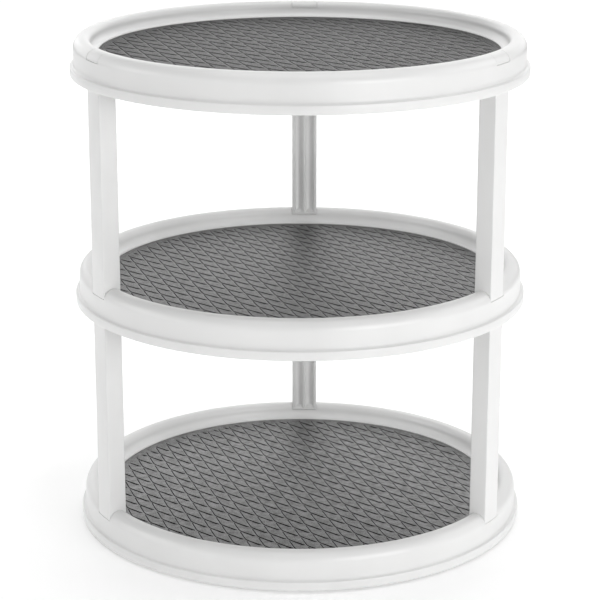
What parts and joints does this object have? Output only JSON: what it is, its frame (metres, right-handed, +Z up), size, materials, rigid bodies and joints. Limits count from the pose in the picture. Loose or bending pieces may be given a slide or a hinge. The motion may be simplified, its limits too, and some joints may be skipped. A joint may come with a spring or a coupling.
{
  "type": "tiered turntable",
  "caption": "Tiered round turntable with raised-rim trays, non-slip liners and plug-in posts, turning on a ball race in a low base.",
  "frame": {"origin": "centre of the footprint, on the surface that the rubber feet stand on", "axes": "+Z up along the axis the trays turn about, +Y towards the back posts, +X to the right seen from the front"},
  "size_m": [0.3048, 0.3048, 0.3343],
  "materials": {
    "tray_plastic": "satin moulded white",
    "post_plastic": "satin moulded white",
    "base_plastic": "matt moulded white",
    "cage_plastic": "natural nylon",
    "liner_rubber": "matt, embossed with a repeated groove pattern",
    "foot_rubber": "matt black",
    "bearing_steel": "bright steel"
  },
  "bodies": {
    "base": {"base_plate": "base_plastic", "foot_1": "foot_rubber", "foot_2": "foot_rubber", "foot_3": "foot_rubber", "foot_4": "foot_rubber", "foot_5": "foot_rubber", "foot_6": "foot_rubber"},
    "turntable": {"bottom_tray": "tray_plastic", "middle_tray": "tray_plastic", "top_tray": "tray_plastic", "bottom_liner": "liner_rubber", "middle_liner": "liner_rubber", "top_liner": "liner_rubber", "lower_post_back": "post_plastic", "lower_post_left": "post_plastic", "lower_post_right": "post_plastic", "upper_post_back": "post_plastic", "upper_post_left": "post_plastic", "upper_post_right": "post_plastic", "socket_cap_back": "tray_plastic", "socket_cap_left": "tray_plastic", "socket_cap_right": "tray_plastic", "pivot_screw": "bearing_steel", "pivot_washer": "bearing_steel"},
    "bearing": {"ball_cage": "cage_plastic", "bearing_balls": "bearing_steel"}
  },
  "joints": [
    {"name": "turntable_spin", "type": "hinge", "parent": "base", "child": "turntable", "pos_m": [0, 0, 0], "axis": [0, 0, 1], "continuous": true},
    {"name": "bearing_spin", "type": "hinge", "parent": "base", "child": "bearing", "pos_m": [0, 0, 0], "axis": [0, 0, 1], "continuous": true}
  ],
  "couplings": [
    {"joint": "bearing_spin", "follows": "turntable_spin", "ratio": 0.5}
  ]
}
